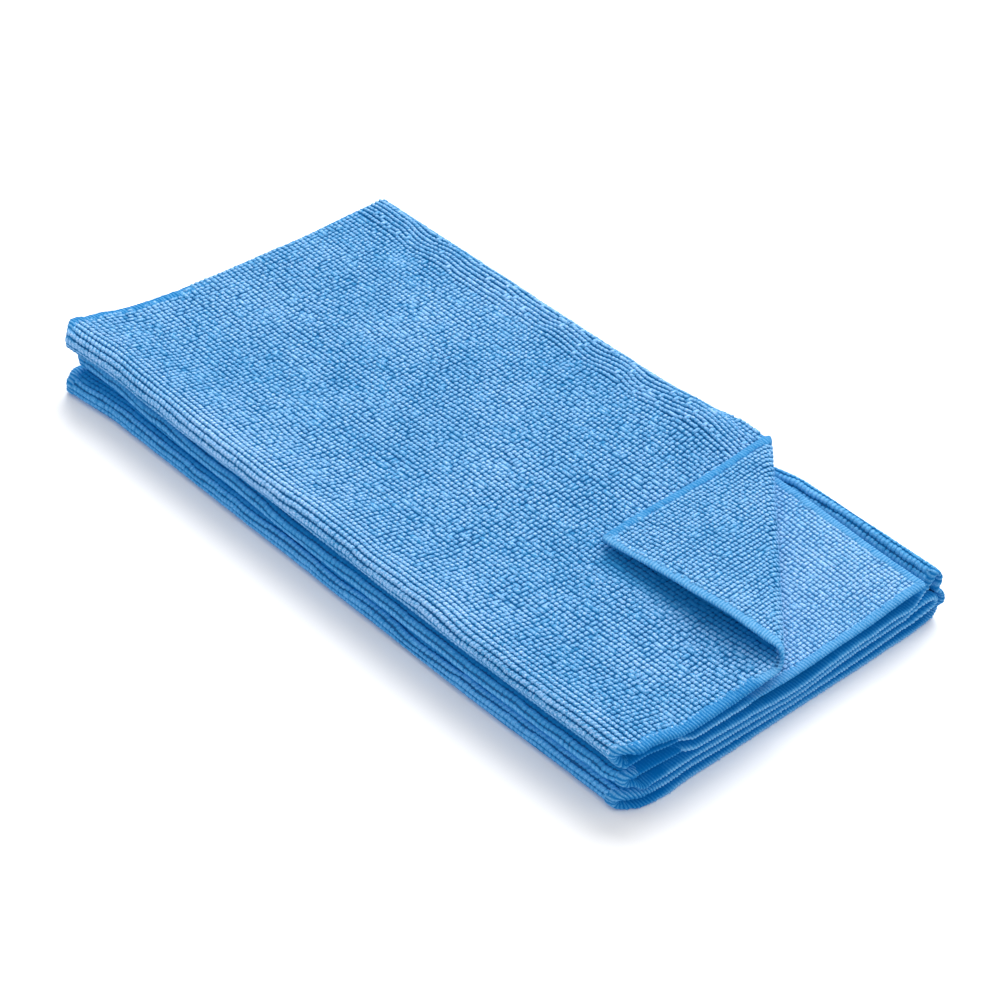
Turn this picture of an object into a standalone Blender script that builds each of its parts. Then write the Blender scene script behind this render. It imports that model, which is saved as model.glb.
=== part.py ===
"""A microfibre cloth folded back and forth into six layers, with one corner of the top layer turned back.

The cloth is one long sheet. Its middle surface is drawn as a section, from the free edge of the top
layer to the free edge of the second layer, and carried along the length of the bundle. The corner is
rolled over afterwards, and Solidify gives the sheet its thickness. Sizes are in millimetres until the
last step. X runs across the bundle, Y along it, Z up; the long folded side is at -X.
"""

import math

import bmesh
import bpy
import numpy as np

SHEET_THICKNESS = 2.4
STATIONS = 17
BOX_CENTRE = (0.78, -1.78)
TOP_FREE_EDGE_X = 84.0
INNER_TURN_LEFT_X = -71.0
INNER_TURN_RIGHT_X = -64.6
INNER_TURN_REACH = 1.7
RIGHT_WALL_START_X = 64.0
LINE_X = (-76.0, -68.0, -50.0, -25.0, 2.0, 33.0, 62.0)

# Height of the middle surface of each layer, where the columns are the places in LINE_X.
HEIGHT = {
    "layer_1": (26.0, 25.6, 23.8, 22.6, 22.4, 22.9, 23.0),
    "layer_2": (18.2, 18.7, 18.6, 18.0, 17.0, 17.3, 19.1),
    "layer_3": (14.6, 14.0, 13.9, 12.4, 10.8, 13.3, 14.2),
    "layer_4": (10.4, 9.5, 10.1, 9.0, 7.6, 9.6, 10.4),
    "layer_5": (6.9, 5.7, 6.4, 5.0, 4.2, 5.2, 6.1),
    "layer_6": (1.2, 1.2, 1.2, 1.2, 1.2, 1.2, 1.2),
}

# How far the front edge of each layer is set back from the straight front line.
FRONT_SET_BACK = {
    "layer_1": (1.5, 0.4, -1.6, -1.0, -0.9, 0.5, 1.5),
    "layer_2": (2.2, 2.2, -0.4, -0.2, -0.2, 0.3, 0.4),
    "layer_3": (0.2, 0.0, -0.6, -0.4, -0.6, -0.5, 0.2),
    "layer_4": (0.2, 0.0, -0.5, -0.2, 0.0, 0.3, 0.3),
    "layer_5": (1.5, 0.0, -0.2, 0.2, 0.4, 0.1, 0.6),
    "layer_6": (2.8, -0.7, 0.0, 0.0, 0.2, 0.3, 0.6),
}

# How far the back edge of each layer is set forward from the straight back line.
BACK_SET_FORWARD = {
    "layer_1": (-4.9, -3.6, -1.8, -1.8, -1.8, -0.9, -2.0),
    "layer_2": (-4.4, -2.4, 0.6, 1.3, 1.9, 3.0, 2.2),
    "layer_3": (-0.6, 0.2, 0.9, 1.2, 1.6, 2.2, 2.6),
    "layer_4": (0.4, 0.8, 1.4, 1.2, 1.1, 2.6, 1.8),
    "layer_5": (0.9, 0.7, 0.5, 1.2, 1.7, 1.9, 2.3),
    "layer_6": (0.2, 0.4, 0.8, 1.0, 1.3, 1.6, 2.0),
}

FRONT_LINE_Y = -166.0
FRONT_LINE_SLOPE = 0.043
FRONT_LINE_X = -70.0
BACK_LINE_Y = 158.5

# Outer face of each left fold at five places along the length.
FOLD_LINE_Y = (-160.0, -80.0, 0.0, 80.0, 160.0)
FOLD_FACE_X = {
    "fold_a": (-79.6, -81.0, -81.0, -81.2, -80.4),
    "fold_b": (-80.0, -81.4, -81.4, -80.0, -76.8),
    "fold_c": (-80.6, -82.2, -82.6, -82.8, -83.4),
}
FOLD_REACH = {"fold_a": 5.2, "fold_b": 3.6, "fold_c": 4.2}

# Outer edge of the second layer's free side at the same five places.
SECOND_FREE_EDGE_X = (70.2, 73.0, 72.8, 72.4, 72.8)

# A line pressed into each left fold: its depth, its place and its width as shares of the turn.
FOLD_LINE = {
    "fold_a": (0.8, 0.62, 0.13),
    "fold_b": (0.5, 0.5, 0.14),
    "fold_c": (0.8, 0.5, 0.13),
}

# How far the ends of each left fold are drawn in at its outer face.
FOLD_TUCK = {"fold_a": 5.0, "fold_b": 1.0, "fold_c": 3.0}
INNER_RIGHT_FOLD_X = 73.6
INNER_RIGHT_FOLD_REACH = 2.4

# Points of the section along each run and round each fold.
TOP_POINTS = 15
HANG_POINTS = 6
LAYER_POINTS = 9
SHORT_POINTS = 3
INNER_TURN_STEPS = 4
INNER_RIGHT_FOLD_STEPS = 5
FOLD_STEPS = {"fold_a": 11, "fold_b": 9, "fold_c": 10}

# Right wall of the bundle, from the bottom layer up to the third: its place near the front end, where
# it bulges in three rolls, and further back, where the top layer hangs over it.
RIGHT_WALL = (
    # front_x, front_z, back_x, back_z, tuck
    (72.0, 1.2, 73.4, 1.2, 1.0),
    (76.0, 1.4, 77.4, 1.3, 1.5),
    (78.0, 2.9, 79.8, 2.8, 2.0),
    (77.8, 5.0, 80.4, 4.8, 1.5),
    (79.0, 7.2, 80.6, 6.8, 0.0),
    (79.4, 9.6, 80.2, 8.6, 0.0),
    (78.4, 11.7, 79.2, 10.4, 1.0),
    (77.4, 13.4, 78.6, 11.9, 3.0),
    (78.9, 15.3, 78.4, 13.2, 3.0),
    (79.4, 17.3, 77.6, 14.2, 2.6),
    (78.6, 19.1, 76.4, 14.9, 2.6),
    (76.9, 19.4, 75.0, 14.8, 2.6),
    (75.4, 18.0, 73.4, 14.5, 2.6),
    (73.8, 16.0, 71.4, 14.3, 3.0),
    (70.0, 14.6, 68.6, 14.2, 2.0),
)
WALL_FRONT_UNTIL_Y = -95.0
WALL_BACK_FROM_Y = -55.0

# The free edge of the top layer hangs over the right side, behind the turned-back corner.
HANG_START_X = 74.5
HANG_RADIUS = 5.0
HANG_FULL_TURN = math.radians(82.0)
HANG_NONE_AT = 1.0
HANG_FULL_AT = 16.0

# Soft hollows and swellings, none at the lowest height given here and in full from the highest one.
SWELLING_HEIGHTS = (3.0, 21.0)
SWELLINGS = (
    # x, y, width_x, width_y, rise
    (-20.0, 120.0, 50.0, 36.0, -1.1),
    (60.0, 70.0, 9.0, 55.0, -0.6),
    (74.0, 75.0, 12.0, 80.0, 1.3),
    (-66.0, 148.0, 22.0, 24.0, 1.0),
    (10.0, -30.0, 34.0, 40.0, 0.6),
    (-42.0, -110.0, 22.0, 34.0, 0.5),
    (74.0, -39.0, 20.0, 22.0, 3.1),
)

# The crease runs from the right side to the front edge; the corner beyond it rolls up and back.
CREASE_RIGHT = (69.3, -75.8)
CREASE_FRONT = (-10.0, -164.0)
CREASE_RADIUS = 3.0
CREASE_STEPS = 6
CREASE_LIFT = 1.6
FLAP_BEND_AT = 16.0
FLAP_CLEARANCE = 0.5
CUT_SNAP = 0.3


def smooth(share):
    """An even ease from 0 to 1."""
    share = min(max(share, 0.0), 1.0)
    return share * share * (3.0 - 2.0 * share)


def eased(places, values, at):
    """The value at a place, eased between the columns of a table."""
    at = min(max(at, places[0]), places[-1])
    k = min(int(np.searchsorted(places, at, side="right")), len(places) - 1)
    share = smooth((at - places[k - 1]) / (places[k] - places[k - 1]))
    return values[k - 1] + share * (values[k] - values[k - 1])


def swelling(x, y, z):
    """Rise of the cloth at a place, from the soft hollows and swellings."""
    low, high = SWELLING_HEIGHTS
    rise = 0.0
    for centre_x, centre_y, width_x, width_y, height in SWELLINGS:
        reach = ((x - centre_x) / width_x) ** 2 + ((y - centre_y) / width_y) ** 2
        rise += height * math.exp(-reach)
    return rise * smooth((z - low) / (high - low))


def node(layer, x):
    """One point of the section: its place, its height and the two ends of its line along the cloth."""
    front = FRONT_LINE_Y + FRONT_LINE_SLOPE * (x - FRONT_LINE_X)
    return np.array(
        (
            x,
            eased(LINE_X, HEIGHT[layer], x),
            front + eased(LINE_X, FRONT_SET_BACK[layer], x),
            BACK_LINE_Y - eased(LINE_X, BACK_SET_FORWARD[layer], x),
        )
    )


def run(layer, start_x, end_x, count):
    """A layer lying flat from one place to another."""
    return [node(layer, x) for x in np.linspace(start_x, end_x, count)]


def turn(first, last, reach, steps, line=(0.0, 0.5, 1.0), tuck=0.0):
    """A half-round fold from the end of one layer to the start of the next, standing out by reach."""
    points = []
    depth, at, width = line
    for k in range(1, steps):
        angle = math.pi * k / steps
        share = (1.0 - math.cos(angle)) / 2.0
        pressed = depth * math.exp(-(((k / steps - at) / width) ** 2))
        point = first + share * (last - first)
        point[0] += (abs(reach) * math.sin(angle) - pressed) * math.copysign(1.0, reach)
        point[2] += tuck * math.sin(angle)
        point[3] -= tuck * math.sin(angle)
        points.append(point)
    return points


def left_fold(name, first, last):
    """One of the three folds of the long left side, with its pressed line."""
    steps = FOLD_STEPS[name]
    return turn(first, last, -FOLD_REACH[name], steps, FOLD_LINE[name], FOLD_TUCK[name])


def inner_turn(first, last, reach):
    """One of the two turns hidden behind the left folds."""
    return turn(first, last, reach, INNER_TURN_STEPS)


def right_wall(place):
    """The wall from the bottom layer up to the third, between its front and its back shape."""
    points = []
    first = node("layer_6", RIGHT_WALL_START_X)
    last = node("layer_3", RIGHT_WALL_START_X)
    for k, (front_x, front_z, back_x, back_z, tuck) in enumerate(RIGHT_WALL):
        share = (k + 1.0) / (len(RIGHT_WALL) + 1.0)
        point = first + share * (last - first)
        point[0] = front_x + place * (back_x - front_x)
        point[1] = front_z + place * (back_z - front_z)
        point[2] += tuck
        points.append(point)
    return points


def section(y):
    """The whole section at a place along the length, and how many of its points are the top layer."""
    left = {}
    for name, faces in FOLD_FACE_X.items():
        face = eased(FOLD_LINE_Y, faces, y)
        left[name] = face + SHEET_THICKNESS / 2.0 + FOLD_REACH[name]
    a, b, c = left["fold_a"], left["fold_b"], left["fold_c"]
    right = INNER_RIGHT_FOLD_X - SHEET_THICKNESS / 2.0 - INNER_RIGHT_FOLD_REACH
    place = smooth((y - WALL_FRONT_UNTIL_Y) / (WALL_BACK_FROM_Y - WALL_FRONT_UNTIL_Y))
    free_edge = eased(FOLD_LINE_Y, SECOND_FREE_EDGE_X, y)

    points = run("layer_1", TOP_FREE_EDGE_X, HANG_START_X, HANG_POINTS)
    points += run("layer_1", HANG_START_X, a, TOP_POINTS)[1:]
    top_count = len(points)
    points += left_fold("fold_a", points[-1], node("layer_2", a))
    points += run("layer_2", a, INNER_TURN_LEFT_X, SHORT_POINTS)
    points += inner_turn(points[-1], node("layer_3", INNER_TURN_LEFT_X), INNER_TURN_REACH)
    points += run("layer_3", INNER_TURN_LEFT_X, b, SHORT_POINTS)
    points += left_fold("fold_b", points[-1], node("layer_4", b))
    points += run("layer_4", b, right, LAYER_POINTS)
    last = node("layer_5", right)
    points += turn(points[-1], last, INNER_RIGHT_FOLD_REACH, INNER_RIGHT_FOLD_STEPS)
    points += run("layer_5", right, c, LAYER_POINTS)
    points += left_fold("fold_c", points[-1], node("layer_6", c))
    points += run("layer_6", c, RIGHT_WALL_START_X, LAYER_POINTS)
    points += right_wall(place)
    points += run("layer_3", RIGHT_WALL_START_X, INNER_TURN_RIGHT_X, LAYER_POINTS)
    points += inner_turn(points[-1], node("layer_2", INNER_TURN_RIGHT_X), -INNER_TURN_REACH)
    points += run("layer_2", INNER_TURN_RIGHT_X, free_edge, LAYER_POINTS)
    return points, top_count


def hang(x, z, behind):
    """The free edge of the top layer bent down over the right side, from behind the crease on."""
    beyond = x - HANG_START_X
    share = smooth((behind - HANG_NONE_AT) / (HANG_FULL_AT - HANG_NONE_AT))
    if beyond <= 0.0 or share <= 0.0:
        return x, z
    bend = min(beyond / HANG_RADIUS, HANG_FULL_TURN)
    straight = beyond - bend * HANG_RADIUS
    over = HANG_START_X + HANG_RADIUS * math.sin(bend) + straight * math.cos(bend)
    down = HANG_RADIUS * (1.0 - math.cos(bend)) + straight * math.sin(bend)
    return x + share * (over - x), z - share * down


def fold_sheet():
    """The folded middle surface as a grid, and the vertices of its top layer."""
    points, top_count = section(0.0)
    bm = bmesh.new()
    bmesh.ops.create_grid(
        bm, x_segments=len(points) - 1, y_segments=STATIONS - 1, size=1.0
    )
    top = set()
    half_length = (BACK_LINE_Y - FRONT_LINE_Y) / 2.0
    middle_y = (BACK_LINE_Y + FRONT_LINE_Y) / 2.0
    sections = [
        section(middle_y + half_length * along)[0]
        for along in np.linspace(-1.0, 1.0, STATIONS)
    ]
    for vertex in bm.verts:
        i = round((vertex.co.x + 1.0) / 2.0 * (len(points) - 1))
        j = round((vertex.co.y + 1.0) / 2.0 * (STATIONS - 1))
        x, z, front, back = sections[j][i]
        y = front + (back - front) * j / (STATIONS - 1)
        z += swelling(x, y, z)
        if i < top_count:
            top.add(vertex)
        vertex.co = (x, y, z)
    return bm, top


def turn_corner_back(bm, top):
    """Cut rows along the crease into the top layer, and roll the corner beyond it up and back."""
    start = np.array(CREASE_RIGHT)
    along = np.array(CREASE_FRONT) - start
    across = np.array((-along[1], along[0])) / np.linalg.norm(along)
    half_turn = math.pi * CREASE_RADIUS
    rows = [half_turn * k / CREASE_STEPS for k in range(CREASE_STEPS + 1)]
    rows += [-HANG_FULL_AT, -HANG_FULL_AT / 2.0, half_turn + FLAP_BEND_AT]
    for row in rows:
        faces = {f for v in top for f in v.link_faces if all(c in top for c in f.verts)}
        edges = {e for f in faces for e in f.edges}
        place = start + across * row
        cut = bmesh.ops.bisect_plane(
            bm,
            geom=list(faces) + list(edges) + list(top),
            dist=CUT_SNAP,
            plane_co=(place[0], place[1], 0.0),
            plane_no=(across[0], across[1], 0.0),
        )
        top |= {g for g in cut["geom_cut"] if isinstance(g, bmesh.types.BMVert)}
    tip = np.array((TOP_FREE_EDGE_X, node("layer_1", TOP_FREE_EDGE_X)[2]))
    furthest = (tip - start) @ across - half_turn
    drop = 2.0 * CREASE_RADIUS - SHEET_THICKNESS - FLAP_CLEARANCE
    for vertex in top:
        beyond = (np.array(vertex.co[:2]) - start) @ across
        toward_front = (np.array(vertex.co[:2]) - start) @ along / (along @ along)
        lift = CREASE_LIFT * smooth(1.0 + beyond / HANG_FULL_AT) * smooth(toward_front)
        if beyond <= 0.0:
            vertex.co.x, vertex.co.z = hang(vertex.co.x, vertex.co.z + lift, -beyond)
            continue
        angle = min(beyond / CREASE_RADIUS, math.pi)
        back = max(beyond - half_turn, 0.0)
        shift = CREASE_RADIUS * math.sin(angle) - back - beyond
        rise = lift + CREASE_RADIUS * (1.0 - math.cos(angle))
        rise -= (drop + lift) * smooth(0.5 * back / furthest + 0.5 * (back / furthest) ** 2)
        vertex.co.x += across[0] * shift
        vertex.co.y += across[1] * shift
        vertex.co.z += rise


def make_cloth():
    """The finished cloth: its middle surface in metres, with Solidify for the thickness."""
    bm, top = fold_sheet()
    turn_corner_back(bm, top)
    bmesh.ops.translate(bm, vec=(-BOX_CENTRE[0], -BOX_CENTRE[1], 0.0), verts=bm.verts)
    bmesh.ops.scale(bm, vec=(0.001, 0.001, 0.001), verts=bm.verts)
    bmesh.ops.recalc_face_normals(bm, faces=bm.faces)
    mesh = bpy.data.meshes.new("microfibre_cloth")
    bm.to_mesh(mesh)
    bm.free()
    cloth = bpy.data.objects.new("microfibre_cloth", mesh)
    thicken = cloth.modifiers.new("sheet thickness", "SOLIDIFY")
    thicken.thickness = SHEET_THICKNESS / 1000.0
    thicken.offset = 0.0
    thicken.use_even_offset = True
    return cloth


def microfibre_material():
    """Blue knitted microfibre."""
    material = bpy.data.materials.new("blue_microfibre")
    material.use_nodes = True
    shader = material.node_tree.nodes["Principled BSDF"]
    shader.inputs["Base Color"].default_value = (0.12, 0.36, 0.72, 1.0)
    shader.inputs["Roughness"].default_value = 0.9
    return material


def main():
    for existing in list(bpy.data.objects):
        bpy.data.objects.remove(existing)
    parts = bpy.data.collections.new("microfibre_cloth")
    bpy.context.scene.collection.children.link(parts)
    cloth = make_cloth()
    cloth.data.materials.append(microfibre_material())
    parts.objects.link(cloth)


main()
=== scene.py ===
# %% [markdown]
# # A folded microfibre cloth
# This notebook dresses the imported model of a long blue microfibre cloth. It lies on a pale floor, folded
# back and forth into six layers, and one corner of its top layer is rolled up and turned back. The
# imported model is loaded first, as a fixed frame: everything new is placed by its sizes.

# %% Load the frame
import math

import bpy
import numpy as np
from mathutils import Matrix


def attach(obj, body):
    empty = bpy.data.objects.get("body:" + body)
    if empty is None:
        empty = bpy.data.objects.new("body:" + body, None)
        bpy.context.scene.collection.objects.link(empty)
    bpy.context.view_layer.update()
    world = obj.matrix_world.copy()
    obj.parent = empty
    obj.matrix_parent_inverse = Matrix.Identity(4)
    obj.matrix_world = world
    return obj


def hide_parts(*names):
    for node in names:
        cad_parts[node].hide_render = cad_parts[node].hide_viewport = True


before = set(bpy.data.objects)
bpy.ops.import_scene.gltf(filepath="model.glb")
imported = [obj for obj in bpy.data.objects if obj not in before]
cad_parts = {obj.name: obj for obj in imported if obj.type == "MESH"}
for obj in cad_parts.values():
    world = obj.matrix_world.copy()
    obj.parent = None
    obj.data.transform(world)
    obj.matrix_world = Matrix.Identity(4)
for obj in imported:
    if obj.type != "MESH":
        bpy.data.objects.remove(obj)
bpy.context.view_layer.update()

MM = 0.001

# %% [markdown]
# ## Camera, floor and light
# The picture looks down on the bundle from beyond its front left corner, from more than a metre away,
# so its long sides run almost parallel. A camera can be aimed with a constraint or with angles: angles
# say plainly how high and how far round it stands. The real thing lies on white card under a large
# soft light from behind and from the right, so the near left sides are a little darker. Two area
# lights and a bright world do that.

# %% Camera
CAMERA_TURN = math.radians(-39.84)
CAMERA_HEIGHT = math.radians(37.2)
CAMERA_DISTANCE = 1.20736
CAMERA_TARGET = (-0.00078, 0.00178, 0.0)
CAMERA_LENS = 115.2
CAMERA_SHIFT = (0.0128, -0.004)


def toward(turn, height):
    """Unit direction from the object to something that stands at these angles."""
    flat = math.cos(height)
    return np.array((math.sin(turn) * flat, -math.cos(turn) * flat, math.sin(height)))


bpy.ops.object.camera_add(
    location=np.array(CAMERA_TARGET) + CAMERA_DISTANCE * toward(CAMERA_TURN, CAMERA_HEIGHT),
    rotation=(math.pi / 2.0 - CAMERA_HEIGHT, 0.0, CAMERA_TURN),
)
camera = bpy.context.object
camera.data.lens = CAMERA_LENS
camera.data.shift_x, camera.data.shift_y = CAMERA_SHIFT
bpy.context.scene.camera = camera
print("camera at", [round(v, 3) for v in camera.location])

# %% Floor and lights
FLOOR_SIZE = 8.0
LIGHTS = (
    # name, turn, height, distance, size, power
    ("key light", 122.0, 44.0, 2.2, 1.9, 73.0),
    ("fill light", -30.0, 70.0, 2.6, 2.4, 12.0),
)
WORLD_WHITE = (1.0, 1.0, 1.0, 1.0)
WORLD_STRENGTH = 0.70

bpy.ops.mesh.primitive_plane_add(size=FLOOR_SIZE, location=(0.0, 0.0, 0.0))
floor = bpy.context.object
floor.name = "floor"
for name, turn, height, distance, size, power in LIGHTS:
    turn, height = math.radians(turn), math.radians(height)
    bpy.ops.object.light_add(
        type="AREA",
        location=distance * toward(turn, height),
        rotation=(math.pi / 2.0 - height, 0.0, turn),
    )
    light = bpy.context.object
    light.name = name
    light.data.size = size
    light.data.energy = power
world = bpy.data.worlds.new("soft studio")
world.use_nodes = True
world.node_tree.nodes["Background"].inputs["Color"].default_value = WORLD_WHITE
world.node_tree.nodes["Background"].inputs["Strength"].default_value = WORLD_STRENGTH
bpy.context.scene.world = world
bpy.context.scene.view_settings.view_transform = "Standard"
print("lights", [row[0] for row in LIGHTS])

# %% [markdown]
# ## The folds
# The cloth is one rectangle, 0.96 m long and 0.32 m wide. Folding it can be simulated, but pressed
# folds hold their shape, and here each layer has a measured height. So a section is drawn across the
# bundle, from the free edge of the top layer to that of the second, and the rest follows from it. These
# are the sizes of the solid in the frame, in millimetres, with a few points moved by up to 2 mm.

# %% Sizes of the folds
WIDTH = 322.0
BOX_CENTRE = (0.78, -1.78)
TOP_FREE_EDGE_X = 84.0
INNER_TURN_LEFT_X = -71.0
INNER_TURN_RIGHT_X = -64.6
INNER_TURN_REACH = 1.7
RIGHT_WALL_START_X = 64.0
LINE_X = (-76.0, -68.0, -50.0, -25.0, 2.0, 33.0, 62.0)
SHEET_THICKNESS = 2.4

# Height of the middle of each layer, where the columns are the places in LINE_X.
HEIGHT = {
    "layer_1": (26.0, 25.6, 23.8, 22.6, 22.4, 22.9, 23.0),
    "layer_2": (18.2, 18.7, 18.6, 18.0, 17.0, 17.3, 19.1),
    "layer_3": (14.6, 14.0, 13.9, 12.4, 10.8, 13.1, 13.8),
    "layer_4": (10.4, 9.5, 10.1, 9.0, 7.6, 9.6, 10.4),
    "layer_5": (6.9, 5.7, 6.4, 5.0, 4.2, 5.2, 6.1),
    "layer_6": (1.2, 1.2, 1.2, 1.2, 1.2, 1.2, 1.2),
}

# How far the front edge of each layer is set back from the straight front line.
FRONT_SET_BACK = {
    "layer_1": (1.5, 0.4, -1.6, -1.0, -0.9, 0.5, 1.5),
    "layer_2": (2.2, 2.2, -0.4, -0.2, -0.2, 0.3, 0.4),
    "layer_3": (0.2, 0.0, -0.6, -0.4, -0.6, -0.5, 0.2),
    "layer_4": (0.2, 0.0, -0.5, -0.2, 0.0, 0.3, 0.3),
    "layer_5": (1.5, 0.0, -0.2, 0.2, 0.4, 0.1, 0.6),
    "layer_6": (2.8, -0.7, 0.0, 0.0, 0.2, 0.3, 0.6),
}

# How far the back edge of each layer is set forward from the straight back line.
BACK_SET_FORWARD = {
    "layer_1": (-4.9, -3.6, -1.8, -1.8, -1.8, -0.9, -2.0),
    "layer_2": (-4.4, -2.4, 0.6, 1.3, 1.9, 3.0, 2.2),
    "layer_3": (-0.6, 0.2, 0.9, 1.2, 1.6, 2.2, 2.6),
    "layer_4": (0.4, 0.8, 1.4, 1.2, 1.1, 2.6, 1.8),
    "layer_5": (0.9, 0.7, 0.5, 1.2, 1.7, 1.9, 2.3),
    "layer_6": (0.2, 0.4, 0.8, 1.0, 1.3, 1.6, 2.0),
}
FRONT_LINE_Y = -166.0
FRONT_LINE_SLOPE = 0.043
FRONT_LINE_X = -70.0
BACK_LINE_Y = 158.5

# Outer face of each left fold, and the second layer's free edge, at five places along the length.
FOLD_LINE_Y = (-160.0, -80.0, 0.0, 80.0, 160.0)
FOLD_FACE_X = {
    "fold_a": (-79.6, -81.0, -81.0, -81.2, -80.4),
    "fold_b": (-80.0, -81.4, -81.4, -80.0, -76.8),
    "fold_c": (-80.6, -82.2, -82.6, -82.8, -83.4),
}
SECOND_FREE_EDGE_X = (70.2, 73.0, 72.8, 72.4, 72.8)
FOLDS = {
    # reach, depth of the pressed line, its place, its width, draw-in of the ends, points
    "fold_a": (5.2, 0.8, 0.62, 0.13, 5.0, 22),
    "fold_b": (3.6, 0.5, 0.50, 0.14, 1.0, 18),
    "fold_c": (4.2, 0.8, 0.50, 0.13, 3.0, 20),
}
INNER_RIGHT_FOLD_X = 73.6
INNER_RIGHT_FOLD_REACH = 2.4

# Right wall of the bundle, from the bottom layer up to the third, near its front end and further back.
RIGHT_WALL = (
    # front_x, front_z, back_x, back_z, tuck
    (72.0, 1.2, 73.4, 1.2, 1.0),
    (76.0, 1.4, 77.4, 1.3, 1.5),
    (78.0, 2.9, 79.8, 2.8, 2.0),
    (77.8, 5.0, 80.4, 4.8, 1.5),
    (79.0, 7.2, 80.6, 6.8, 0.0),
    (79.4, 9.6, 80.2, 8.6, 0.0),
    (78.4, 11.7, 79.2, 10.4, 0.4),
    (76.6, 13.2, 78.6, 11.9, 0.8),
    (78.9, 15.3, 78.4, 13.2, 1.8),
    (79.4, 17.3, 77.6, 14.2, 2.2),
    (78.6, 19.1, 76.4, 14.9, 2.6),
    (76.9, 19.4, 75.0, 14.8, 2.6),
    (75.4, 18.0, 73.4, 14.5, 2.6),
    (73.8, 15.4, 71.4, 14.3, 3.0),
    (70.0, 14.6, 68.6, 14.2, 2.0),
)
WALL_FRONT_UNTIL_Y = -95.0
WALL_BACK_FROM_Y = -55.0

# The free edge of the top layer hangs over the right side.
HANG_START_X = 74.5
HANG_RADIUS = 5.0
HANG_FULL_TURN = math.radians(82.0)
HANG_NONE_AT = 1.0
HANG_FULL_AT = 28.0

# Soft hollows and swellings of the upper layers.
SWELLING_HEIGHTS = (3.0, 21.0)
SWELLINGS = (
    # x, y, width_x, width_y, rise
    (-20.0, 120.0, 50.0, 36.0, -1.1),
    (60.0, 70.0, 9.0, 55.0, -0.6),
    (74.0, 75.0, 12.0, 80.0, 1.3),
    (-66.0, 148.0, 22.0, 24.0, 1.0),
    (10.0, -30.0, 34.0, 40.0, 0.6),
    (-42.0, -110.0, 22.0, 34.0, 0.5),
    (74.0, -39.0, 20.0, 22.0, 3.1),
    (75.0, 2.0, 9.0, 34.0, 1.0),
    (80.0, -60.0, 9.0, 14.0, -1.5),
)
print("layers", len(HEIGHT), "wall rows", len(RIGHT_WALL))

# %% [markdown]
# The section is walked run by run and turn by turn, once for each of a row of stations along the
# bundle. Every point keeps its place, its height, and the two ends of its line.


# %% Walk one section
def smooth(share):
    """An even ease from 0 to 1."""
    share = np.clip(share, 0.0, 1.0)
    return share * share * (3.0 - 2.0 * share)


def eased(places, values, at):
    """The value at a place, eased between the columns of a table."""
    at = min(max(at, places[0]), places[-1])
    k = min(int(np.searchsorted(places, at, side="right")), len(places) - 1)
    share = smooth((at - places[k - 1]) / (places[k] - places[k - 1]))
    return values[k - 1] + share * (values[k] - values[k - 1])


# %% Runs and turns
def section_point(layer, x):
    """One point of the section: place, height and the two ends of its line."""
    front = FRONT_LINE_Y + FRONT_LINE_SLOPE * (x - FRONT_LINE_X)
    front = front + eased(LINE_X, FRONT_SET_BACK[layer], x)
    back = BACK_LINE_Y - eased(LINE_X, BACK_SET_FORWARD[layer], x)
    return np.array((x, eased(LINE_X, HEIGHT[layer], x), front, back))


def run(layer, start_x, end_x, count):
    """A layer lying flat from one place to another."""
    return [section_point(layer, x) for x in np.linspace(start_x, end_x, count)]


def turn_over(first, last, reach, steps, pressed=(0.0, 0.5, 1.0), tuck=0.0):
    """A half-round fold from the end of one layer to the start of the next."""
    points = []
    depth, at, width = pressed
    for k in range(1, steps):
        angle = math.pi * k / steps
        dent = depth * math.exp(-(((k / steps - at) / width) ** 2))
        point = first + (1.0 - math.cos(angle)) / 2.0 * (last - first)
        point[0] += (abs(reach) * math.sin(angle) - dent) * math.copysign(1.0, reach)
        point[2] += tuck * math.sin(angle)
        point[3] -= tuck * math.sin(angle)
        points.append(point)
    return points


def left_fold(name, first, last):
    """One of the three folds of the long left side, with its pressed line."""
    reach, depth, at, width, tuck, steps = FOLDS[name]
    return turn_over(first, last, -reach, steps, (depth, at, width), tuck)


def right_wall(place):
    """The wall from the bottom layer up to the third, between its front and its back shape."""
    points = []
    first = section_point("layer_6", RIGHT_WALL_START_X)
    last = section_point("layer_3", RIGHT_WALL_START_X)
    for k, (front_x, front_z, back_x, back_z, tuck) in enumerate(RIGHT_WALL):
        point = first + (k + 1.0) / (len(RIGHT_WALL) + 1.0) * (last - first)
        point[0] = front_x + place * (back_x - front_x)
        point[1] = front_z + place * (back_z - front_z)
        point[2] += tuck
        points.append(point)
    return points


# %% The way along the section
HANG_POINTS = 6
TURN_POINTS = 6
ROUTE = (
    # layer, from, to, points, then the name and the reach of the turn that ends it
    ("layer_1", "hang", "fold_a", 24, "fold_a", None),
    ("layer_2", "fold_a", "left turn", 4, "first inner turn", INNER_TURN_REACH),
    ("layer_3", "left turn", "fold_b", 4, "fold_b", None),
    ("layer_4", "fold_b", "right fold", 12, "inner right fold", INNER_RIGHT_FOLD_REACH),
    ("layer_5", "right fold", "fold_c", 12, "fold_c", None),
    ("layer_6", "fold_c", "wall", 12, "right wall", None),
    ("layer_3", "wall", "right turn", 12, "second inner turn", -INNER_TURN_REACH),
    ("layer_2", "right turn", "free edge", 16, None, None),
)


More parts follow.
